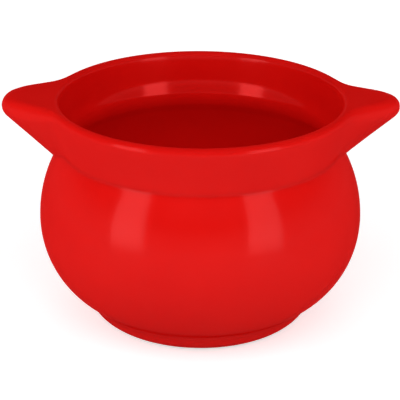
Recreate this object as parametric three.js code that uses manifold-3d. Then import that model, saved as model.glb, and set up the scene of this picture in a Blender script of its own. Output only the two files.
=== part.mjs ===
// A glazed stoneware soup bowl: round belly, flared collar with two lugs, low rounded foot.
// Millimetres, +Z up. The origin is on the bowl's axis at the table, and the lugs lie along X.
import * as THREE from "three";
import { mergeVertices } from "three/addons/utils/BufferGeometryUtils.js";
import Module from "manifold-3d";

const wasm = await Module();
wasm.setup();

const degrees = THREE.MathUtils.degToRad;

// Driving dimensions: the finished bowl's glazed surface
const NECK_RADIUS = 55.2; // outside, at the crease under the collar
const COLLAR_FLARE = 4.8; // how far the rim stands out past the neck
const COLLAR_HEIGHT = 19.6; // neck crease to lip crest
const LIP_RADIUS = 2.2; // the lip is a full round, so the collar is twice this thick under it
const BELLY_BULGE = 9.3; // how far the belly stands out past the neck
const BELLY_UPPER_HEIGHT = 29.8; // widest line up to the neck
const BELLY_LOWER_HEIGHT = 36.8; // flat underside up to the widest line
const BASE_RADIUS = 31.6; // flat underside, where the belly's curve begins
const BODY_WALL = 3.5;
const FLOOR_THICKNESS = 6.0;
const FLOOR_RADIUS = 30.0; // flat floor inside
const WALL_TILT = degrees(8.5); // the collar's inner wall leans out by this much
const COVE_TILT = degrees(24); // and by this much at the foot of the wall
const COVE_RADIUS = 20.0; // curve from the one lean to the other
const THROAT_RADIUS = 8.0; // rounding inside, where the cove turns under into the belly

// Driving dimensions: the foot
const RECESS_DEPTH = 5.0; // underside above the table
const FOOT_HEIGHT = 8.5; // crease where the foot meets the belly
const BEARING_RADIUS = 35.7; // outer edge of the flat that stands on the table
const BEARING_WIDTH = 4.2;
const RECESS_DRAFT = 1.5; // the recess narrows by this much towards its ceiling
const GLAZE_LINE = 0.8; // the glaze stops this far above the table

// Driving dimensions: the lugs. In plan each is a bell, and the left one is a little broader and deeper
const LEFT_LUG = { spread: degrees(13.8), flatness: 2.45, rootDrop: 5.0 };
const RIGHT_LUG = { spread: degrees(11.0), flatness: 2.1, rootDrop: 3.4 };
const LUG_REACH = 18.2; // tip past the rim
const LUG_EDGE_RADIUS = 4.25; // rounded edge at the tip
const LUG_EDGE_GROWTH = 4.0; // swell over which the lip's round grows to the tip's
const LUG_TIP_RISE = 0.4; // the tip's top lies this far over the rim
const LUG_END_THICKNESS = 1.5; // the lug's solid ends where its swell is this thick
const LUG_FADE_THICKNESS = 0.05; // and the swell itself has died away at this thickness
const LUG_POCKET = 0.6; // depth that a lug is let into the collar

// Driving dimensions: the coats and the joints
const GLAZE = 0.5;
const SEAT_GAP = 0.3; // slip joint between clay pieces, and clay to glaze

// Facets
const LUG_STEPS = 16;
const SIDE_STEPS = 10;
const CROWN_TOP_STEPS = 3;
const CROWN_EDGE_STEPS = 4;
const FLANK_STEPS = 2;
const BELLY_UPPER_STEPS = 4;
const BELLY_LOWER_STEPS = 5;
const FOOT_STEPS = 3;
const THROAT_STEPS = 3;
const COVE_STEPS = 1;
const LIP_STEPS = 3;
const CROWDED = 0.98; // a station past this share of an arc is too near the arc's end
const SHOULDER_ANGLE = degrees(60); // divides the fine facets of an edge from those of its top

// Worked out from the driving dimensions
const BELLY_Z = RECESS_DEPTH + BELLY_LOWER_HEIGHT;
const NECK_Z = BELLY_Z + BELLY_UPPER_HEIGHT;
const RIM_Z = NECK_Z + COLLAR_HEIGHT;
const FLOOR_Z = RECESS_DEPTH + FLOOR_THICKNESS;
const RIM_RADIUS = NECK_RADIUS + COLLAR_FLARE;
const BELLY_RADIUS = NECK_RADIUS + BELLY_BULGE;
const UPPER_ARC = (BELLY_BULGE ** 2 + BELLY_UPPER_HEIGHT ** 2) / (2 * BELLY_BULGE);
const CLAY_INSET = GLAZE + SEAT_GAP; // clay lies this far under the glazed surface
const SEAT_INSET = GLAZE; // a face that sits on clay, one gap off it
const BEYOND = 2 * RIM_RADIUS; // clear of the whole bowl, for cuts

const at = (r, z) => new THREE.Vector2(r, z);
const range = (steps) => Array.from({ length: steps + 1 }, (_, i) => i / steps);
const lerp = THREE.MathUtils.lerp;

const onCircle = (center, radius, angle) =>
  at(center.x + radius * Math.cos(angle), center.y + radius * Math.sin(angle));

// Points of an arc about a centre, both ends included
function arc(center, radius, from, to, steps) {
  return range(steps).map((t) => onCircle(center, radius, lerp(from, to, t)));
}

// The side profile of a section moved to its right, into the clay, with mitred corners
function inset(path, distance) {
  const normals = path.slice(1).map((p, i) => {
    const along = p.clone().sub(path[i]).normalize();
    return at(along.y, -along.x);
  });
  return path.map((p, i) => {
    const before = normals[Math.max(i - 1, 0)];
    const after = normals[Math.min(i, normals.length - 1)];
    const mitre = before.clone().add(after).divideScalar(1 + before.dot(after));
    return p.clone().addScaledVector(mitre, distance);
  });
}

// The stretch of a path that lies above a height, with its cut end worked out
function above(path, z) {
  const kept = [];
  path.forEach((p, i) => {
    const q = path[i - 1];
    if (q && q.y > z !== p.y > z) kept.push(q.clone().lerp(p, (z - q.y) / (p.y - q.y)));
    if (p.y > z) kept.push(p);
  });
  return kept;
}

function below(path, z) {
  const mirrored = above(path.map((p) => at(p.x, -p.y)), -z);
  return mirrored.map((p) => at(p.x, -p.y));
}

// Where the tangent from a point under a circle touches its outer side
function outerTangent(from, center, radius) {
  const toCenter = center.clone().sub(from);
  const length = Math.sqrt(toCenter.lengthSq() - radius ** 2);
  const angle = toCenter.angle() - Math.asin(radius / toCenter.length());
  return from.clone().add(at(length * Math.cos(angle), length * Math.sin(angle)));
}

// The lug's part in the section at an angle round the bowl
function lugAt(theta) {
  const lug = Math.cos(theta) > 0 ? RIGHT_LUG : LEFT_LUG;
  const angle = Math.atan2(Math.abs(Math.sin(theta)), Math.abs(Math.cos(theta)));
  const swell = Math.exp(-((angle / lug.spread) ** lug.flatness));
  const rootSwell = (1 - Math.min(angle / lugEnd(lug), 1) ** 2) ** 2;
  const reach = LUG_REACH * swell;
  return {
    reach,
    tipRise: LUG_TIP_RISE * swell,
    edgeRadius: lerp(LIP_RADIUS, LUG_EDGE_RADIUS, Math.tanh(reach / LUG_EDGE_GROWTH)),
    rootDrop: lug.rootDrop * rootSwell,
  };
}

// The angle off a lug's middle at which its swell has a thickness
const swellAngle = (lug, thickness) =>
  lug.spread * Math.log(LUG_REACH / thickness) ** (1 / lug.flatness);

// Where a lug's solid ends, and the collar carries the rest of its swell
const lugEnd = (lug) => swellAngle(lug, LUG_END_THICKNESS);

const bellyCenter = at(BELLY_RADIUS - UPPER_ARC, BELLY_Z);
const lipCenter = at(RIM_RADIUS - LIP_RADIUS, RIM_Z - LIP_RADIUS);
const neck = at(NECK_RADIUS, NECK_Z);
const lipOutside = outerTangent(neck, lipCenter, LIP_RADIUS);
const collarNormal = lipOutside.clone().sub(lipCenter).normalize();
const collarUp = lipOutside.clone().sub(neck).normalize();

// The belly from a height on its upper half down to the widest line
function upperBelly(fromZ) {
  const start = Math.asin((fromZ - BELLY_Z) / UPPER_ARC);
  return arc(bellyCenter, UPPER_ARC, start, 0, BELLY_UPPER_STEPS);
}

// The belly from the widest line down to a height on its lower half, a quarter ellipse
function lowerBelly(toZ) {
  const end = Math.asin((BELLY_Z - toZ) / BELLY_LOWER_HEIGHT);
  return range(BELLY_LOWER_STEPS).map((t) =>
    at(
      BASE_RADIUS + (BELLY_RADIUS - BASE_RADIUS) * Math.cos(end * t),
      BELLY_Z - BELLY_LOWER_HEIGHT * Math.sin(end * t),
    ),
  );
}

// The foot's rolled outside, from the crease under the belly to a height above the table
function footRoll(toZ) {
  const crease = lowerBelly(FOOT_HEIGHT).at(-1);
  const end = Math.asin(1 - toZ / FOOT_HEIGHT);
  return range(FOOT_STEPS).map((t) =>
    at(
      BEARING_RADIUS + (crease.x - BEARING_RADIUS) * Math.cos(end * t),
      FOOT_HEIGHT * (1 - Math.sin(end * t)),
    ),
  );
}

// The collar's and lug's outside at an angle: lip crest, top, rounded edge, flank, root on the belly
function crown(theta, rooted) {
  const lug = lugAt(theta);
  const center = at(RIM_RADIUS + lug.reach - lug.edgeRadius, RIM_Z + lug.tipRise - lug.edgeRadius);
  const rootZ = NECK_Z - (rooted ? lug.rootDrop : 0);
  const root = upperBelly(rootZ)[0];
  const touch = outerTangent(root, center, lug.edgeRadius);
  const touchAngle = Math.atan2(touch.y - center.y, touch.x - center.x);
  const crest = at(lipCenter.x + SEAT_GAP / 2, RIM_Z);
  const topLength = Math.max(0, center.x - crest.x);
  const startAngle = Math.acos(Math.max(0, (crest.x - center.x) / lug.edgeRadius));
  const shoulderLength = (startAngle - SHOULDER_ANGLE) * lug.edgeRadius;
  const top = range(CROWN_TOP_STEPS).map((t) => {
    const run = t * (topLength + shoulderLength);
    if (run < topLength) return at(crest.x + run, RIM_Z + (lug.tipRise * run) / topLength);
    const angle = startAngle - (run - topLength) / lug.edgeRadius;
    return onCircle(center, lug.edgeRadius, angle);
  });
  const edge = arc(center, lug.edgeRadius, SHOULDER_ANGLE, touchAngle, CROWN_EDGE_STEPS);
  const flank = range(FLANK_STEPS).map((t) => touch.clone().lerp(root, t));
  return [...top, ...edge.slice(1), ...flank.slice(1)];
}

// The whole glazed outside, lip crest to glaze line
function outside(theta) {
  const top = crown(theta, true);
  const parts = [upperBelly(top.at(-1).y), lowerBelly(FOOT_HEIGHT), footRoll(GLAZE_LINE)];
  return [...top, ...parts.flatMap((part) => part.slice(1))];
}

// The way that a wall faces which leans out by an angle
const facing = (tilt) => at(-Math.cos(tilt), Math.sin(tilt));

// The whole glazed inside, centre of the floor to lip crest
function inside() {
  const innerBellyRadius = BELLY_RADIUS - BODY_WALL;
  const lower = range(BELLY_LOWER_STEPS).map((t) => {
    const angle = ((1 - t) * Math.PI) / 2;
    return at(
      FLOOR_RADIUS + (innerBellyRadius - FLOOR_RADIUS) * Math.cos(angle),
      BELLY_Z - (BELLY_Z - FLOOR_Z) * Math.sin(angle),
    );
  });
  const innerArc = UPPER_ARC - BODY_WALL;
  // Down from the lip: a wall, a cove that leans further, a throat that turns under and meets the belly
  const coveCenter = lipCenter.clone().addScaledVector(facing(WALL_TILT), LIP_RADIUS + COVE_RADIUS);
  const throat = coveCenter.clone().addScaledVector(facing(COVE_TILT), -COVE_RADIUS - THROAT_RADIUS);
  const wallUp = at(Math.sin(WALL_TILT), Math.cos(WALL_TILT));
  const offset = throat.clone().sub(bellyCenter);
  const climb = offset.dot(wallUp);
  const reach = innerArc + THROAT_RADIUS;
  const drop = climb - Math.sqrt(climb ** 2 - offset.lengthSq() + reach ** 2);
  coveCenter.addScaledVector(wallUp, -drop);
  throat.addScaledVector(wallUp, -drop);
  const throatAngle = throat.clone().sub(bellyCenter).angle();
  const upper = arc(bellyCenter, innerArc, 0, throatAngle, BELLY_UPPER_STEPS);
  const round = arc(throat, THROAT_RADIUS, throatAngle + Math.PI, Math.PI - COVE_TILT, THROAT_STEPS);
  const cove = arc(coveCenter, COVE_RADIUS, -COVE_TILT, -WALL_TILT, COVE_STEPS);
  const crestAngle = Math.PI / 2 + Math.asin(SEAT_GAP / 2 / LIP_RADIUS);
  const lip = arc(lipCenter, LIP_RADIUS, Math.PI - WALL_TILT, crestAngle, LIP_STEPS);
  return [at(0, FLOOR_Z), ...lower, ...upper.slice(1), ...round.slice(1), ...cove.slice(1), ...lip];
}

// The glazed recess under the base, glaze line up the foot's inner wall and in to the axis
function recess() {
  const foot = at(BEARING_RADIUS - BEARING_WIDTH, 0);
  const ceiling = at(foot.x - RECESS_DRAFT, RECESS_DEPTH);
  return [foot.clone().lerp(ceiling, GLAZE_LINE / RECESS_DEPTH), ceiling, at(0, RECESS_DEPTH)];
}

// The seat of a lug: the collar's face carried on past the lip, deeper than the clay by the pocket
function seatLine(clearance) {
  const depth = CLAY_INSET + LUG_POCKET - clearance;
  const base = neck.clone().addScaledVector(collarNormal, -depth);
  const climb = (z) => base.clone().addScaledVector(collarUp, (z - base.y) / collarUp.y);
  return [climb(RIM_Z + COLLAR_HEIGHT), climb(NECK_Z)];
}

// Angles round the bowl, closer together over the lugs
function stationAngles() {
  const zone = Math.max(...[LEFT_LUG, RIGHT_LUG].map((lug) => swellAngle(lug, LUG_FADE_THICKNESS)));
  const lug = range(LUG_STEPS).map((t) => lerp(-zone, zone, t));
  const side = range(SIDE_STEPS).map((t) => lerp(zone, Math.PI - zone, t));
  const half = [...lug.slice(0, -1), ...side.slice(0, -1)];
  return [...half, ...half.map((theta) => theta + Math.PI)];
}
const STATIONS = stationAngles();

// Station angles from end to end of an arc about a middle angle
function stationsAbout(middle, halfAngle) {
  const offsets = STATIONS.map((theta) => {
    const turn = theta - middle;
    return Math.atan2(Math.sin(turn), Math.cos(turn));
  });
  const within = offsets.filter((turn) => Math.abs(turn) < halfAngle * CROWDED).sort((a, b) => a - b);
  return [-halfAngle, ...within, halfAngle].map((turn) => middle + turn);
}

// Triangles with their shared corners made one, less those that this flattens, such as on the axis
function welded(corners) {
  const geometry = mergeVertices(new THREE.BufferGeometry().setFromPoints(corners));
  const index = Array.from(geometry.index.array);
  const kept = [];
  for (let i = 0; i < index.length; i += 3) {
    const [a, b, c] = index.slice(i, i + 3);
    if (a !== b && b !== c && c !== a) kept.push(a, b, c);
  }
  return geometry.setIndex(kept);
}

// A closed solid through sections round the axis, with end faces unless it goes all the way round
function loft(angles, sectionAt, allRound = true) {
  const loops = angles.map((theta) => {
    const loop = sectionAt(theta);
    return THREE.ShapeUtils.area(loop) < 0 ? loop.reverse() : loop;
  });
  const place = (i, j) => {
    const p = loops[i % loops.length].at(j % loops[0].length);
    const theta = angles[i % angles.length];
    return new THREE.Vector3(p.x * Math.cos(theta), p.x * Math.sin(theta), p.y);
  };
  const corners = [];
  const triangle = (a, b, c) => corners.push(a, b, c);
  const spans = allRound ? angles.length : angles.length - 1;
  // Each four-cornered facet is split across its shorter diagonal, so nested surfaces stay parallel
  for (let i = 0; i < spans; i++) {
    for (let j = 0; j < loops[0].length; j++) {
      const [a, b, c, d] = [place(i, j), place(i + 1, j), place(i + 1, j + 1), place(i, j + 1)];
      if (a.distanceTo(c) < b.distanceTo(d)) {
        triangle(a, b, c);
        triangle(a, c, d);
      } else {
        triangle(a, b, d);
        triangle(b, c, d);
      }
    }
  }
  if (!allRound) {
    const last = angles.length - 1;
    THREE.ShapeUtils.triangulateShape(loops[0], []).forEach(([a, b, c]) => {
      triangle(place(0, a), place(0, b), place(0, c));
    });
    THREE.ShapeUtils.triangulateShape(loops[last], []).forEach(([a, b, c]) => {
      triangle(place(last, a), place(last, c), place(last, b));
    });
  }
  return welded(corners);
}

function solid(geometry) {
  const vertProperties = geometry.attributes.position.array;
  const triVerts = new Uint32Array(geometry.index.array);
  return new wasm.Manifold(new wasm.Mesh({ numProp: 3, vertProperties, triVerts }));
}

function geometryOf(manifold) {
  const { vertProperties, triVerts } = manifold.getMesh();
  const geometry = new THREE.BufferGeometry();
  geometry.setAttribute("position", new THREE.BufferAttribute(vertProperties, 3));
  return geometry.setIndex(new THREE.BufferAttribute(triVerts, 1));
}

// A coat of glaze between a glazed surface and its underside
function coat(pathAt) {
  return loft(STATIONS, (theta) => {
    const path = pathAt(theta);
    return [...path, ...inset(path, GLAZE).reverse()];
  });
}

// The body's outside from a height down to the axis, at a depth under the glazed surface
function bodyOutside(depth, topZ) {
  const path = [...upperBelly(NECK_Z), ...lowerBelly(RECESS_DEPTH).slice(1), at(0, RECESS_DEPTH)];
  return below(inset(path, depth), topZ);
}

function bowlBody() {
  const topZ = NECK_Z - SEAT_GAP;
  const well = below(inset(inside(), CLAY_INSET), topZ);
  return loft(STATIONS, () => [...well, ...bodyOutside(CLAY_INSET, topZ)]);
}

// The room that the body and its shoulder need, one gap clear all over
function bodyRoom() {
  return solid(loft(STATIONS, () => [...bodyOutside(SEAT_INSET, NECK_Z), at(0, NECK_Z)]));
}

// The collar with the thin ends of the lugs' swell, before the lug pockets are cut
function collarRing() {
  const wall = above(inset(inside(), CLAY_INSET), NECK_Z);
  const face = (theta) => above(inset(crown(theta, false), CLAY_INSET), NECK_Z);
  return solid(loft(STATIONS, (theta) => [...wall, ...face(theta)]));
}

// All that lies outside a lug's seat on the collar, over the lug's own arc
function lugPocket(middle, lug) {
  const [top, bottom] = seatLine(0);
  const section = [top, bottom, at(bottom.x, 0), at(BEYOND, 0), at(BEYOND, top.y)];
  return solid(loft(stationsAbout(middle, lugEnd(lug)), () => [...section], false));
}

// The lug's swell over its own arc, cut to its seats on the collar and on the body
function lugBlock(middle, lug) {
  const halfAngle = lugEnd(lug) - SEAT_GAP / RIM_RADIUS;
  const [top, bottom] = seatLine(SEAT_GAP);
  const collarRoom = loft(STATIONS, () => [top, bottom, at(bottom.x, 0), at(0, 0), at(0, top.y)]);
  const block = loft(
    stationsAbout(middle, halfAngle),
    (theta) => {
      const face = inset(crown(theta, true), CLAY_INSET);
      return [at(0, face[0].y), ...face, at(0, face.at(-1).y)];
    },
    false,
  );
  return geometryOf(solid(block).subtract(solid(collarRoom)).subtract(bodyRoom()));
}

function footRing() {
  const roll = inset(footRoll(GLAZE_LINE), CLAY_INSET);
  const wall = inset(recess(), CLAY_INSET);
  const bearing = [at(BEARING_RADIUS, 0), at(wall[0].x, 0)];
  const ring = loft(STATIONS, () => [at(roll[0].x, BELLY_Z), ...roll, ...bearing, at(wall[1].x, BELLY_Z)]);
  return geometryOf(solid(ring).subtract(bodyRoom()));
}

const clay = () => new THREE.MeshStandardMaterial({ color: 0xe6dccb, roughness: 0.85, metalness: 0 });
const glaze = () => new THREE.MeshStandardMaterial({ color: 0xd91c18, roughness: 0.12, metalness: 0 });

const LUGS = [
  { name: "right_lug", middle: 0, lug: RIGHT_LUG },
  { name: "left_lug", middle: Math.PI, lug: LEFT_LUG },
];

const bowl = new THREE.Group();
function piece(name, geometry, material) {
  const mesh = new THREE.Mesh(geometry, material);
  mesh.name = name;
  bowl.add(mesh);
}

piece("bowl_body", bowlBody(), clay());
const pockets = LUGS.map(({ middle, lug }) => lugPocket(middle, lug));
piece("rim_collar", geometryOf(collarRing().subtract(pockets[0]).subtract(pockets[1])), clay());
LUGS.forEach(({ name, middle, lug }) => piece(name, lugBlock(middle, lug), clay()));
piece("foot_ring", footRing(), clay());
piece("outer_glaze", coat(outside), glaze());
piece("liner_glaze", coat(inside), glaze());
piece("base_glaze", coat(recess), glaze());

export default bowl;
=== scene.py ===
"""A red glazed stoneware soup bowl with two lugs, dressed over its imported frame.

Metres, +Z up. The origin is on the bowl's axis at the table, and the lugs lie along X.
"""
import math

import bpy
import numpy as np
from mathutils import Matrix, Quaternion, Vector


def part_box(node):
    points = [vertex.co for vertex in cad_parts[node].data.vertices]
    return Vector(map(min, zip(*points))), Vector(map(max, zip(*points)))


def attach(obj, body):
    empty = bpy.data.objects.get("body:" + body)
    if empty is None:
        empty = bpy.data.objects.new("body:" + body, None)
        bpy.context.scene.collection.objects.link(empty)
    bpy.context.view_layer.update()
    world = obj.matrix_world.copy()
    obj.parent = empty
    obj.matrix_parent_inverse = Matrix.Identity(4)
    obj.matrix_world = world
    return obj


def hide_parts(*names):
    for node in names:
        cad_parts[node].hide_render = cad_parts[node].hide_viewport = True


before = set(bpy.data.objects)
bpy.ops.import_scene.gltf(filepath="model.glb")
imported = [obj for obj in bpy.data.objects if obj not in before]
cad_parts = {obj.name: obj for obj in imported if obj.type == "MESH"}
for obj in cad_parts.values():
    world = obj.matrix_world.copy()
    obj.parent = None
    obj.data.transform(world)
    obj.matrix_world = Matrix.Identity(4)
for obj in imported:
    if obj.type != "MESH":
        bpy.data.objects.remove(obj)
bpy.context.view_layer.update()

# Sizes that the frame gives
outer_low, outer_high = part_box("outer_glaze")
BELLY_RADIUS = outer_high.y
GLAZE_LINE = outer_low.z

# Sizes of the glazed surface
MM = 0.001
RIM_Z = 91.2 * MM
NECK_RADIUS = 55.2 * MM
COLLAR_FLARE = 4.8 * MM
COLLAR_HEIGHT = 19.6 * MM
LIP_RADIUS = 2.2 * MM
BELLY_UPPER_HEIGHT = 29.8 * MM
BELLY_LOWER_HEIGHT = 36.8 * MM
BASE_RADIUS = 31.6 * MM
BODY_WALL = 3.5 * MM
FLOOR_THICKNESS = 6.0 * MM
FLOOR_RADIUS = 30.0 * MM
WALL_TILT = math.radians(8.5)  # the collar's inner wall leans out by this much
COVE_TILT = math.radians(24.0)  # and by this much at the foot of the wall
COVE_RADIUS = 20.0 * MM
THROAT_RADIUS = 8.0 * MM
RECESS_DEPTH = 5.0 * MM
FOOT_HEIGHT = 8.5 * MM
BEARING_RADIUS = 35.7 * MM
BEARING_WIDTH = 4.2 * MM
RECESS_DRAFT = 1.5 * MM
GLAZE = 0.5 * MM
SEAT_GAP = 0.3 * MM
ON_AXIS = 0.005 * MM  # a point closer to the axis than this is on it

# Roundings that glaze leaves in a corner
NECK_FILLET = 1.2 * MM
CREASE_FILLET = 4.6 * MM
RECESS_FILLET = 1.6 * MM
BEARING_ROUND = 0.5 * MM

# The lugs, each a bell in plan
LEFT_LUG = {"spread": math.radians(13.8), "flatness": 2.45, "root_drop": 5.0 * MM}
RIGHT_LUG = {"spread": math.radians(11.0), "flatness": 2.1, "root_drop": 3.4 * MM}
LUG_REACH = 18.2 * MM
LUG_EDGE_RADIUS = 4.25 * MM
LUG_EDGE_GROWTH = 4.0 * MM
LUG_TIP_RISE = 0.4 * MM
LUG_END_THICKNESS = 1.5 * MM

# Points along each stretch of a section, and sections round the bowl
STATIONS = 264
TOP_STEPS = 12
EDGE_STEPS = 12
FLANK_STEPS = 12
FILLET_STEPS = 6
UPPER_STEPS = 16
LOWER_STEPS = 24
FOOT_STEPS = 12
FLOOR_STEPS = 8
THROAT_STEPS = 12
COVE_STEPS = 6
WALL_STEPS = 6
LIP_STEPS = 10
ROUND_STEPS = 5
SHOULDER_ANGLE = math.radians(60)

# Worked out from those sizes
RIM_RADIUS = NECK_RADIUS + COLLAR_FLARE
NECK_Z = RIM_Z - COLLAR_HEIGHT
BELLY_Z = NECK_Z - BELLY_UPPER_HEIGHT
FLOOR_Z = RECESS_DEPTH + FLOOR_THICKNESS
BULGE = BELLY_RADIUS - NECK_RADIUS
UPPER_ARC = (BULGE**2 + BELLY_UPPER_HEIGHT**2) / (2 * BULGE)
BELLY_CENTER = np.array([BELLY_RADIUS - UPPER_ARC, BELLY_Z])
LIP_CENTER = np.array([RIM_RADIUS - LIP_RADIUS, RIM_Z - LIP_RADIUS])
CLAY_INSET = GLAZE + SEAT_GAP


def arc(center, radius, start, end, steps):
    angles = np.linspace(start, end, steps + 1)
    return center + radius * np.stack([np.cos(angles), np.sin(angles)], 1)


def line(start, end, steps):
    return np.linspace(start, end, steps + 1)


def bend(start, corner, end, steps):
    """A rounded corner, as a curve that leaves both sides along the side."""
    t = np.linspace(0, 1, steps + 1)[:, None]
    return (1 - t) ** 2 * start + 2 * t * (1 - t) * corner + t**2 * end


def chain(*runs):
    """Runs that meet end to end, with each shared point kept once."""
    return np.concatenate([runs[0]] + [run[1:] for run in runs[1:]])


def unit(vector):
    return vector / np.linalg.norm(vector)


def inset(path, distance):
    """A path moved to its right, into the clay."""
    along = np.diff(path, axis=0)
    along /= np.linalg.norm(along, axis=1)[:, None]
    normals = np.stack([along[:, 1], -along[:, 0]], 1)
    before = np.concatenate([normals[:1], normals])
    after = np.concatenate([normals, normals[-1:]])
    mitre = (before + after) / (1 + (before * after).sum(1))[:, None]
    return path + distance * mitre


def tangent_point(start, center, radius):
    """Where the tangent from a point under a circle touches its outer side."""
    span = center - start
    reach = np.linalg.norm(span)
    angle = math.atan2(span[1], span[0]) - math.asin(radius / reach)
    length = math.sqrt(reach**2 - radius**2)
    return start + length * np.array([math.cos(angle), math.sin(angle)])


def lug_at(theta):
    """Reach, rise of the tip, edge radius and drop of the root at an angle round the bowl."""
    lug = RIGHT_LUG if math.cos(theta) > 0 else LEFT_LUG
    angle = math.atan2(abs(math.sin(theta)), abs(math.cos(theta)))
    lug_end = lug["spread"] * math.log(LUG_REACH / LUG_END_THICKNESS) ** (1 / lug["flatness"])
    swell = math.exp(-((angle / lug["spread"]) ** lug["flatness"]))
    root_swell = (1 - min(angle / lug_end, 1) ** 2) ** 2
    reach = LUG_REACH * swell
    edge = LIP_RADIUS + (LUG_EDGE_RADIUS - LIP_RADIUS) * math.tanh(reach / LUG_EDGE_GROWTH)
    return reach, LUG_TIP_RISE * swell, edge, lug["root_drop"] * root_swell


def crown(theta):
    """Lip crest, top of the lug, rounded edge and flank, down to the root on the belly."""
    reach, tip_rise, edge, root_drop = lug_at(theta)
    center = np.array([RIM_RADIUS + reach - edge, RIM_Z + tip_rise - edge])
    root_angle = math.asin((NECK_Z - root_drop - BELLY_Z) / UPPER_ARC)
    root = arc(BELLY_CENTER, UPPER_ARC, root_angle, root_angle, 0)[0]
    touch = tangent_point(root, center, edge)
    touch_angle = math.atan2(touch[1] - center[1], touch[0] - center[0])
    top_length = max(0.0, center[0] - LIP_CENTER[0])
    start_angle = math.acos(max(0.0, (LIP_CENTER[0] - center[0]) / edge))
    top = []
    for run in np.linspace(0, top_length + (start_angle - SHOULDER_ANGLE) * edge, TOP_STEPS + 1):
        if run < top_length:
            t = run / top_length
            rise = tip_rise * t * t * (3 - 2 * t)
            top.append([LIP_CENTER[0] + run, RIM_Z + rise])
        else:
            angle = start_angle - (run - top_length) / edge
            top.append(center + edge * np.array([math.cos(angle), math.sin(angle)]))
    rounded = arc(center, edge, SHOULDER_ANGLE, touch_angle, EDGE_STEPS)
    flank_end = root + NECK_FILLET * unit(touch - root)
    return chain(np.array(top), rounded, line(touch, flank_end, FLANK_STEPS)), root, root_angle


def lower_belly(start, end):
    """The belly under its widest line, a quarter ellipse between two of its angles."""
    angles = np.linspace(start, end, LOWER_STEPS + 1)
    across = BASE_RADIUS + (BELLY_RADIUS - BASE_RADIUS) * np.cos(angles)
    return np.stack([across, BELLY_Z - BELLY_LOWER_HEIGHT * np.sin(angles)], 1)


def foot_roll(start, end):
    """The foot's rolled outside between two of its angles, crease to table."""
    angles = np.linspace(start, end, FOOT_STEPS + 1)
    across = BEARING_RADIUS + (CREASE[0] - BEARING_RADIUS) * np.cos(angles)
    return np.stack([across, FOOT_HEIGHT * (1 - np.sin(angles))], 1)


CREASE_ANGLE = math.asin((BELLY_Z - FOOT_HEIGHT) / BELLY_LOWER_HEIGHT)
CREASE = lower_belly(0, CREASE_ANGLE)[-1]
CREASE_RUN = (BELLY_RADIUS - BASE_RADIUS) * math.sin(CREASE_ANGLE)
CREASE_RISE = BELLY_LOWER_HEIGHT * math.cos(CREASE_ANGLE)
OVER_CREASE_ANGLE = CREASE_ANGLE - CREASE_FILLET / math.hypot(CREASE_RUN, CREASE_RISE)
OVER_CREASE = lower_belly(0, OVER_CREASE_ANGLE)[-1]
GLAZE_LINE_ANGLE = math.asin(1 - GLAZE_LINE / FOOT_HEIGHT)


def outside(theta):
    """The glazed outside from the lip crest to the glaze line."""
    top, root, root_angle = crown(theta)
    belly_start = root_angle - NECK_FILLET / UPPER_ARC
    upper = arc(BELLY_CENTER, UPPER_ARC, belly_start, 0, UPPER_STEPS)
    neck = bend(top[-1], root, upper[0], FILLET_STEPS)
    lower = lower_belly(0, OVER_CREASE_ANGLE)
    foot = foot_roll(CREASE_FILLET / FOOT_HEIGHT, GLAZE_LINE_ANGLE)
    crease = bend(lower[-1], CREASE, foot[0], FILLET_STEPS)
    return chain(top, neck, upper, lower, crease, foot)


def inside():
    """The glazed inside from the middle of the floor to the lip crest."""
    inner_radius = BELLY_RADIUS - BODY_WALL
    inner_arc = UPPER_ARC - BODY_WALL
    angles = np.linspace(math.pi / 2, 0, LOWER_STEPS + 1)
    across = FLOOR_RADIUS + (inner_radius - FLOOR_RADIUS) * np.cos(angles)
    lower = np.stack([across, BELLY_Z - (BELLY_Z - FLOOR_Z) * np.sin(angles)], 1)
    floor = line(np.array([0, FLOOR_Z]), lower[0], FLOOR_STEPS)

    # Down from the lip: the wall, the cove that leans further, the throat that turns under
    def facing(tilt):
        return np.array([-math.cos(tilt), math.sin(tilt)])

    down = np.array([-math.sin(WALL_TILT), -math.cos(WALL_TILT)])
    wall_top = LIP_CENTER + LIP_RADIUS * facing(WALL_TILT)
    cove_center = wall_top + COVE_RADIUS * facing(WALL_TILT)
    cove_end = cove_center - COVE_RADIUS * facing(COVE_TILT)
    throat = cove_end - THROAT_RADIUS * facing(COVE_TILT)
    offset = throat - BELLY_CENTER
    along = offset @ down
    reach = inner_arc + THROAT_RADIUS
    run = -along - math.sqrt(along**2 - offset @ offset + reach**2)
    throat = throat + run * down
    cove_center = cove_center + run * down
    throat_angle = math.atan2(*(throat - BELLY_CENTER)[::-1])
    upper = arc(BELLY_CENTER, inner_arc, 0, throat_angle, UPPER_STEPS)
    turn = arc(throat, THROAT_RADIUS, throat_angle + math.pi, math.pi - COVE_TILT, THROAT_STEPS)
    cove = arc(cove_center, COVE_RADIUS, -COVE_TILT, -WALL_TILT, COVE_STEPS)
    wall = line(cove[-1], wall_top, WALL_STEPS)
    lip = arc(LIP_CENTER, LIP_RADIUS, math.pi - WALL_TILT, math.pi / 2, LIP_STEPS)
    return chain(floor, lower, upper, turn, cove, wall, lip)


def recess():
    """The glazed recess under the base, from the glaze line to the axis."""
    foot = np.array([BEARING_RADIUS - BEARING_WIDTH, 0])
    corner = np.array([foot[0] - RECESS_DRAFT, RECESS_DEPTH])
    start = foot + (corner - foot) * GLAZE_LINE / RECESS_DEPTH
    wall_end = corner + RECESS_FILLET * unit(foot - corner)
    ceiling = corner - np.array([RECESS_FILLET, 0])
    wall = line(start, wall_end, WALL_STEPS)
    rounded = bend(wall_end, corner, ceiling, FILLET_STEPS)
    return chain(wall, rounded, line(ceiling, np.array([0, RECESS_DEPTH]), FLOOR_STEPS))


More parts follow.
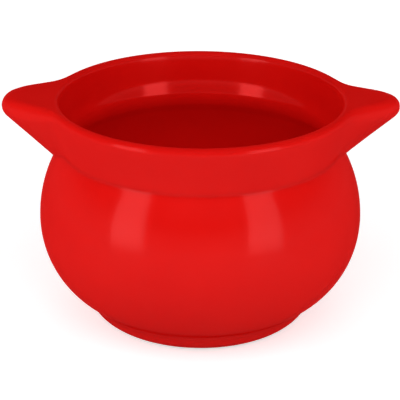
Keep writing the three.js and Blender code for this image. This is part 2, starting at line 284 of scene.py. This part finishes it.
def rolled_edge(start, end):
    """A half round from one face of a coat to the other, past the end of the path."""
    middle = (start + end) / 2
    first = math.atan2(*(start - middle)[::-1])
    return arc(middle, np.linalg.norm(start - middle), first, first - math.pi, ROUND_STEPS)


def spin(name, paths, material, marks=None):
    """A closed mesh through one section per station, with a pole where a section meets the axis.

    Each mark is a point attribute, with a share for each point of each section.
    """
    paths = np.array(paths)
    stations, points = paths.shape[:2]
    thetas = np.arange(stations) * 2 * math.pi / stations
    poles = [j for j in (0, points - 1) if paths[0, j, 0] < ON_AXIS]
    rings = [j for j in range(points) if j not in poles]
    across = paths[:, rings, 0]
    ring_points = np.stack(
        [across * np.cos(thetas)[:, None], across * np.sin(thetas)[:, None], paths[:, rings, 1]], 2
    )
    vertices = ring_points.reshape(-1, 3).tolist()
    vertices += [[0.0, 0.0, float(paths[0, j, 1])] for j in poles]
    width = len(rings)
    faces = []
    for i in range(stations):
        here, there = i * width, (i + 1) % stations * width
        for j in range(width - 1):
            faces.append((here + j, here + j + 1, there + j + 1, there + j))
        if 0 in poles:
            faces.append((len(vertices) - len(poles), here, there))
        if points - 1 in poles:
            faces.append((len(vertices) - 1, there + width - 1, here + width - 1))
        if not poles:
            faces.append((here + width - 1, here, there, there + width - 1))
    mesh = bpy.data.meshes.new(name)
    mesh.from_pydata(vertices, [], faces)
    mesh.shade_smooth()
    mesh.materials.append(material)
    for mark, shares in (marks or {}).items():
        values = np.concatenate([np.array(shares)[:, rings].ravel(), np.zeros(len(poles))])
        mesh.attributes.new(mark, "FLOAT", "POINT").data.foreach_set("value", values)
    piece = bpy.data.objects.new(name, mesh)
    bpy.context.scene.collection.objects.link(piece)
    return piece


# Most of a noise's values lie between these
NOISE_LOW = 0.3
NOISE_HIGH = 0.7


def add(tree, kind, **values):
    """A node, with some of its inputs or properties set."""
    node = tree.nodes.new(kind)
    for key, value in values.items():
        if key in node.inputs:
            node.inputs[key].default_value = value
        else:
            setattr(node, key, value)
    return node


def new_material(name):
    material = bpy.data.materials.new(name)
    material.use_nodes = True
    tree = material.node_tree
    shader = tree.nodes["Principled BSDF"]
    place = add(tree, "ShaderNodeTexCoord").outputs["Object"]
    return material, tree, shader, place


def noise(tree, place, scale, detail):
    node = add(tree, "ShaderNodeTexNoise", Scale=scale, Detail=detail)
    tree.links.new(place, node.inputs["Vector"])
    return node.outputs["Fac"]


def spread(tree, value, low, high, from_low=NOISE_LOW, from_high=NOISE_HIGH):
    """A value moved from one range to another, and held at the ends."""
    node = add(tree, "ShaderNodeMapRange")
    for key, number in (
        ("From Min", from_low),
        ("From Max", from_high),
        ("To Min", low),
        ("To Max", high),
    ):
        node.inputs[key].default_value = number
    tree.links.new(value, node.inputs["Value"])
    return node.outputs["Result"]


def blend_colors(tree, factor, first, second):
    node = add(tree, "ShaderNodeMix", data_type="RGBA")
    tree.links.new(factor, node.inputs["Factor"])
    for key, color in (("A", first), ("B", second)):
        socket = [s for s in node.inputs if s.name == key and s.type == "RGBA"][0]
        if isinstance(color, tuple):
            socket.default_value = (*color, 1)
        else:
            tree.links.new(color, socket)
    return [s for s in node.outputs if s.type == "RGBA"][0]


def bump(tree, height, distance, strength, under=None):
    """Relief from a height, laid over another relief if one is given."""
    node = add(tree, "ShaderNodeBump", Distance=distance, Strength=strength)
    tree.links.new(height, node.inputs["Height"])
    if under is not None:
        tree.links.new(under, node.inputs["Normal"])
    return node.outputs["Normal"]


# Marks on the coat: painted shade in the two creases, and the richer coat inside the rim
CREASE_SHADE_MARK = "crease_shade"
LUSTRE = "lustre"
LUSTRE_LOW = 66 * MM
LUSTRE_HIGH = 88 * MM
# Painted shade at the neck and over the foot crease: its width and its share of the deeper red
NECK_SHADE_WIDTH = 1.0 * MM
CREASE_SHADE_WIDTH = 7.0 * MM
NECK_SHADE_SHARE = 0.46
CREASE_SHADE_SHARE = 0.26

# Linear colours
GLAZE_RED = (0.70, 0.0042, 0.0030)
GLAZE_RED_THIN = (0.74, 0.0060, 0.0042)
# The deeper red below is painted shade for the creases
GLAZE_RED_SHADED = (0.44, 0.0016, 0.0012)
REFLECTED_RED = (1.0, 0.10, 0.09, 1)
METALLIC_PLAIN = 0.028
METALLIC_RICH = 0.10
CLAY_PALE = (0.78, 0.70, 0.58)
CLAY_SPECK = (0.34, 0.25, 0.17)

# Grain of the glaze and the clay: each noise has a scale and a detail, each relief a depth and a strength
GLAZE_CLOUDS = (28, 3)
GLAZE_GRAIN = (160, 2)
GLAZE_ROUGHNESS = (0.10, 0.16)
RIPPLE = (60, 1)
RIPPLE_RELIEF = (0.12 * MM, 0.25)
PEEL = (900, 2)
PEEL_RELIEF = (0.01 * MM, 0.3)
COAT_WEIGHT = 0.018
COAT_ROUGHNESS = 0.12
COAT_IOR = 4.0
CLAY_CLOUDS = (90, 4)
CLAY_CLOUD_SHARE = 0.35
SPECKS = (1400, 2)
SPECK_SHARE = 0.9
SPECK_FROM = 0.66
SPECK_TO = 0.74
CLAY_GRAIN = (700, 3)
CLAY_ROUGHNESS = (0.78, 0.95)
TOOTH = (2600, 4)
TOOTH_RELIEF = (0.08 * MM, 0.6)


def glaze_material():
    """Glossy red glaze: clouded colour, painted shade that darkens the creases, faint ripple and peel."""
    material, tree, shader, place = new_material("red_glaze")
    clouds = spread(tree, noise(tree, place, *GLAZE_CLOUDS), 0, 1)
    tone = blend_colors(tree, clouds, GLAZE_RED, GLAZE_RED_THIN)
    # Painted shade: a deeper red laid into the neck and foot creases
    crease_shade = add(tree, "ShaderNodeAttribute", attribute_name=CREASE_SHADE_MARK).outputs["Fac"]
    tone = blend_colors(tree, crease_shade, tone, GLAZE_RED_SHADED)
    tree.links.new(tone, shader.inputs["Base Color"])
    roughness = spread(tree, noise(tree, place, *GLAZE_GRAIN), *GLAZE_ROUGHNESS)
    tree.links.new(roughness, shader.inputs["Roughness"])
    ripple = bump(tree, noise(tree, place, *RIPPLE), *RIPPLE_RELIEF)
    peel = bump(tree, noise(tree, place, *PEEL), *PEEL_RELIEF, ripple)
    tree.links.new(peel, shader.inputs["Normal"])
    tree.links.new(ripple, shader.inputs["Coat Normal"])
    lustre = add(tree, "ShaderNodeAttribute", attribute_name=LUSTRE).outputs["Fac"]
    metallic = spread(tree, lustre, METALLIC_PLAIN, METALLIC_RICH, 0, 1)
    tree.links.new(metallic, shader.inputs["Metallic"])
    shader.inputs["Specular IOR Level"].default_value = 0.0
    shader.inputs["Specular Tint"].default_value = REFLECTED_RED
    shader.inputs["Coat Weight"].default_value = COAT_WEIGHT
    shader.inputs["Coat Roughness"].default_value = COAT_ROUGHNESS
    shader.inputs["Coat IOR"].default_value = COAT_IOR
    return material


def clay_material():
    """Fired stoneware left dry: cream with iron specks and a sandy tooth."""
    material, tree, shader, place = new_material("stoneware")
    clouds = spread(tree, noise(tree, place, *CLAY_CLOUDS), 0, CLAY_CLOUD_SHARE)
    tone = blend_colors(tree, clouds, CLAY_PALE, CLAY_SPECK)
    specks = spread(tree, noise(tree, place, *SPECKS), 0, SPECK_SHARE, SPECK_FROM, SPECK_TO)
    tone = blend_colors(tree, specks, tone, CLAY_SPECK)
    tree.links.new(tone, shader.inputs["Base Color"])
    roughness = spread(tree, noise(tree, place, *CLAY_GRAIN), *CLAY_ROUGHNESS)
    tree.links.new(roughness, shader.inputs["Roughness"])
    tooth = bump(tree, noise(tree, place, *TOOTH), *TOOTH_RELIEF)
    tree.links.new(tooth, shader.inputs["Normal"])
    return material


glaze = glaze_material()
clay = clay_material()
THETAS = np.arange(STATIONS) * 2 * math.pi / STATIONS
WELL = inside()


def coat_section(path):
    """A coat of glaze: its face, a rolled edge and its underside."""
    under = inset(path, GLAZE)[::-1]
    return chain(path, rolled_edge(path[-1], under[0]), under)


def crease_shade_shares(section, theta):
    """How much painted shade each point gets: some over the foot, most at the neck, less under a lug."""
    shares = np.zeros(len(section))
    clear_of_lugs = 1 - lug_at(theta)[0] / LUG_REACH
    for place, width, share in (
        (crown(theta)[1], NECK_SHADE_WIDTH, NECK_SHADE_SHARE * clear_of_lugs),
        (OVER_CREASE, CREASE_SHADE_WIDTH, CREASE_SHADE_SHARE),
    ):
        away = np.linalg.norm(section - place, axis=1) / width
        shares = np.maximum(shares, share * np.exp(-(away**2)))
    return shares


def lustre_shares(section):
    """How rich the coat is at each point: most on the wall inside the rim."""
    shares = np.zeros(len(section))
    heights = section[: len(WELL), 1]
    shares[: len(WELL)] = (heights > LUSTRE_LOW) & (heights < LUSTRE_HIGH)
    return shares


def bowl_glaze():
    """One unbroken coat over the inside, lip, lugs, belly and foot."""
    sections = [coat_section(chain(WELL, outside(theta))) for theta in THETAS]
    crease_shade = [crease_shade_shares(section, theta) for section, theta in zip(sections, THETAS)]
    lustre = [lustre_shares(section) for section in sections]
    return spin("bowl_glaze", sections, glaze, {CREASE_SHADE_MARK: crease_shade, LUSTRE: lustre})


def base_coat():
    """The coat in the recess, edge first, so that its section runs axis to axis."""
    path = recess()[::-1]
    under = inset(path, -GLAZE)[::-1]
    edge = rolled_edge(under[0], path[-1])[::-1]
    return spin("base_coat", [chain(path, edge, under)[::-1]] * STATIONS, glaze)


def clay_body():
    """The clay belly and floor under the glaze."""
    top_z = NECK_Z - SEAT_GAP
    well = inset(WELL, CLAY_INSET)
    well = well[well[:, 1] < top_z]
    well = np.concatenate([well, [[well[-1, 0], top_z]]])
    start = math.asin((top_z - BELLY_Z) / (UPPER_ARC - CLAY_INSET))
    upper = arc(BELLY_CENTER, UPPER_ARC - CLAY_INSET, start, 0, UPPER_STEPS)
    lower = inset(lower_belly(0, math.pi / 2), CLAY_INSET)
    base = line(lower[-1], np.array([0, lower[-1, 1]]), FLOOR_STEPS)
    rim = line(well[-1], upper[0], WALL_STEPS)
    return spin("clay_body", [chain(well, rim, upper, lower, base)] * STATIONS, clay)


def clay_foot():
    """The clay ring that the bowl stands on, with a dry bearing face."""
    roll = inset(foot_roll(0, GLAZE_LINE_ANGLE), CLAY_INSET)
    wall = inset(recess(), CLAY_INSET)
    wall_foot = np.array([wall[0, 0], 0])
    edge = np.array([BEARING_RADIUS, 0])
    outwards = np.array([BEARING_ROUND, 0])
    upwards = np.array([0, BEARING_ROUND])
    outer_start = edge + BEARING_ROUND * unit(roll[-1] - edge)
    outer = bend(outer_start, edge, edge - outwards, ROUND_STEPS)
    inner = bend(wall_foot + outwards, wall_foot, wall_foot + upwards, ROUND_STEPS)
    rise = line(inner[-1], wall[WALL_STEPS], WALL_STEPS)
    seat = inset(lower_belly(math.pi / 2, CREASE_ANGLE), -GLAZE)
    seat = seat[seat[:, 0] > rise[-1, 0]]
    bearing = line(outer[-1], inner[0], WALL_STEPS)
    section = np.concatenate([roll, outer, bearing[1:], inner[1:], rise[1:], seat])
    return spin("clay_foot", [section] * STATIONS, clay)


def place_pieces():
    for piece, nodes, slot in (
        (bowl_glaze(), ("outer_glaze", "liner_glaze"), "red_glaze"),
        (base_coat(), ("base_glaze",), "red_glaze"),
        (clay_body(), ("bowl_body",), "stoneware"),
        (clay_foot(), ("foot_ring",), "stoneware"),
    ):
        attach(piece, "root")
        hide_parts(*nodes)
    for node in ("rim_collar", "left_lug", "right_lug"):
        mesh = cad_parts[node].data
        mesh.materials.clear()
        mesh.materials.append(clay)


place_pieces()

# The camera at the photograph's angle, with the picture taken as 400 pixels square
PICTURE = 400
FOCAL_PIXELS = 1485.88
SENSOR_MM = 36.0
CLIP_START = 0.01
CAMERA_DISTANCE = 0.600
CAMERA_ELEVATION = math.radians(23.16)
CAMERA_ROLL = math.radians(0.4)
TARGET = Vector((-0.00012, 0, 0.04668))


def make_camera():
    data = bpy.data.cameras.new("camera")
    data.sensor_width = SENSOR_MM
    data.lens = FOCAL_PIXELS / PICTURE * SENSOR_MM
    data.clip_start = CLIP_START
    camera = bpy.data.objects.new("camera", data)
    bpy.context.scene.collection.objects.link(camera)
    back = Vector((0, -math.cos(CAMERA_ELEVATION), math.sin(CAMERA_ELEVATION)))
    camera.location = TARGET + CAMERA_DISTANCE * back
    camera.rotation_mode = "QUATERNION"
    level = (-back).to_track_quat("-Z", "Y")
    camera.rotation_quaternion = level @ Quaternion((0, 0, 1), CAMERA_ROLL)
    bpy.context.scene.camera = camera


make_camera()

# The studio: two strip lamps, walls of light at the sides and back, and a lamp above
FLOOR_SIZE = 12.0
FLOOR_PALE = (0.77, 0.77, 0.77, 1)
FLOOR_LIFT = 0.57
FLOOR_WHITE_FROM = 0.25
FLOOR_WHITE_TO = 0.9
WORLD_LEVEL = 0.06
WORLD_HIGH = 0.2
WHITE_TO = math.sin(math.radians(5.5))
DIM_FROM = math.sin(math.radians(20))
STRIP_DISTANCE = 0.32
STRIP_WIDTH = 0.128
STRIP_LOW = 0.062
STRIP_HIGH = 0.31
STRIP_MIDDLE = 0.186
STRIP_LEAN = math.radians(6)
STRIP_SHEEN = 1.7
FADE_LOW = 0.005
FADE_STEPS = 6
STRIP_LEVELS = {-48.6: 2.94, 43.7: 2.75}  # a level at each azimuth, in degrees from the camera's side
WALL_DISTANCE = 1.3
WALL_HEIGHT = 1.8
WALL_LEVELS = {-90: 0.80, 90: 0.67}  # the same
BACK_AZIMUTH = 180
BACK_WIDTH = 1.2
BACK_LEVEL = 1.0
TOP_FORWARD = 0.82
TOP_HEIGHT = 0.95
TOP_SIZE = 1.0
TOP_LEVEL = 1.9


def lamp(name, place, aim, size, level, lean=0.0, lit=True, mirrored=True):
    """A flat lamp of a size and brightness at a place, facing a point."""
    data = bpy.data.lights.new(name, "AREA")
    data.shape = "RECTANGLE"
    data.size, data.size_y = size
    data.energy = level * math.pi * size[0] * size[1]
    obj = bpy.data.objects.new(name, data)
    bpy.context.scene.collection.objects.link(obj)
    obj.location = place
    obj.rotation_mode = "QUATERNION"
    turn = (Vector(aim) - Vector(place)).to_track_quat("-Z", "Y")
    obj.rotation_quaternion = turn @ Quaternion((0, 0, 1), lean)
    obj.visible_camera = False
    obj.visible_diffuse = lit
    obj.visible_glossy = mirrored


def upright_lamp(name, azimuth, distance, low, high, width, level, **options):
    """A lamp between two heights, at an azimuth from the camera's side."""
    angle = math.radians(azimuth)
    height = (low + high) / 2
    place = (distance * math.sin(angle), -distance * math.cos(angle), height)
    lamp(name, place, (0, 0, height), (width, high - low), level, **options)


def make_strip(azimuth, level):
    """A leaning strip in segments that fade out towards the floor, with a sheen that only gloss shows."""
    edges = [*np.linspace(FADE_LOW, STRIP_LOW, FADE_STEPS + 1), STRIP_HIGH]
    lean = -math.copysign(STRIP_LEAN, azimuth)
    for i, (low, high) in enumerate(zip(edges, edges[1:])):
        share = (i + 1) / (FADE_STEPS + 1)
        aside = ((low + high) / 2 - STRIP_MIDDLE) * math.tan(-lean)
        turned = azimuth + math.degrees(aside / STRIP_DISTANCE)
        shape = (turned, STRIP_DISTANCE, low, high, STRIP_WIDTH)
        upright_lamp("strip", *shape, level * share, lean=lean)
        upright_lamp("sheen", *shape, level * share * STRIP_SHEEN, lean=lean, lit=False)


def make_lamps():
    for azimuth, level in STRIP_LEVELS.items():
        make_strip(azimuth, level)
    walls = [(azimuth, 2 * WALL_DISTANCE, level) for azimuth, level in WALL_LEVELS.items()]
    for azimuth, width, level in [*walls, (BACK_AZIMUTH, BACK_WIDTH, BACK_LEVEL)]:
        upright_lamp("wall", azimuth, WALL_DISTANCE, 0, WALL_HEIGHT, width, level, mirrored=False)
    above = (0, -TOP_FORWARD, TOP_HEIGHT)
    lamp("top", above, (0, 0, 0), (TOP_SIZE, TOP_SIZE), TOP_LEVEL, mirrored=False)


def seen_share(tree):
    """One for rays that look at a surface, straight or by gloss or glass, and none for its light."""
    path = add(tree, "ShaderNodeLightPath")
    seen = path.outputs["Is Camera Ray"]
    for ray in ("Is Glossy Ray", "Is Transmission Ray"):
        either = add(tree, "ShaderNodeMath", operation="MAXIMUM")
        tree.links.new(seen, either.inputs[0])
        tree.links.new(path.outputs[ray], either.inputs[1])
        seen = either.outputs[0]
    return seen


def floor_material():
    """Pale floor: what looks at it sees it lifted to white, with the bowl's shadow kept."""
    material, tree, shader, place = new_material("pale_floor")
    shader.inputs["Base Color"].default_value = FLOOR_PALE
    shader.inputs["Roughness"].default_value = 1.0
    shader.inputs["Specular IOR Level"].default_value = 0.0
    away = add(tree, "ShaderNodeVectorMath", operation="LENGTH")
    tree.links.new(place, away.inputs[0])
    whiteness = spread(tree, away.outputs["Value"], FLOOR_LIFT, 1, FLOOR_WHITE_FROM, FLOOR_WHITE_TO)
    lift = add(tree, "ShaderNodeMath", operation="MULTIPLY")
    tree.links.new(seen_share(tree), lift.inputs[0])
    tree.links.new(whiteness, lift.inputs[1])
    shader.inputs["Emission Color"].default_value = (1, 1, 1, 1)
    tree.links.new(lift.outputs[0], shader.inputs["Emission Strength"])
    return material


def make_floor():
    half = FLOOR_SIZE / 2
    mesh = bpy.data.meshes.new("floor")
    corners = [(-half, -half, 0), (half, -half, 0), (half, half, 0), (-half, half, 0)]
    mesh.from_pydata(corners, [], [(0, 1, 2, 3)])
    mesh.materials.append(floor_material())
    floor = bpy.data.objects.new("floor", mesh)
    bpy.context.scene.collection.objects.link(floor)


def make_world():
    """White near the horizon and dim above to what looks at it, and a faint light on everything."""
    world = bpy.data.worlds.new("studio")
    world.use_nodes = True
    bpy.context.scene.world = world
    tree = world.node_tree
    background = tree.nodes["Background"]
    background.inputs["Color"].default_value = (1, 1, 1, 1)
    aim = add(tree, "ShaderNodeSeparateXYZ")
    tree.links.new(add(tree, "ShaderNodeTexCoord").outputs["Generated"], aim.inputs[0])
    level = add(tree, "ShaderNodeMix", A=WORLD_LEVEL)
    tree.links.new(seen_share(tree), level.inputs["Factor"])
    tree.links.new(spread(tree, aim.outputs["Z"], 1, WORLD_HIGH, WHITE_TO, DIM_FROM), level.inputs["B"])
    tree.links.new(level.outputs["Result"], background.inputs["Strength"])


make_lamps()
make_floor()
make_world()
bpy.context.scene.view_settings.view_transform = "Standard"
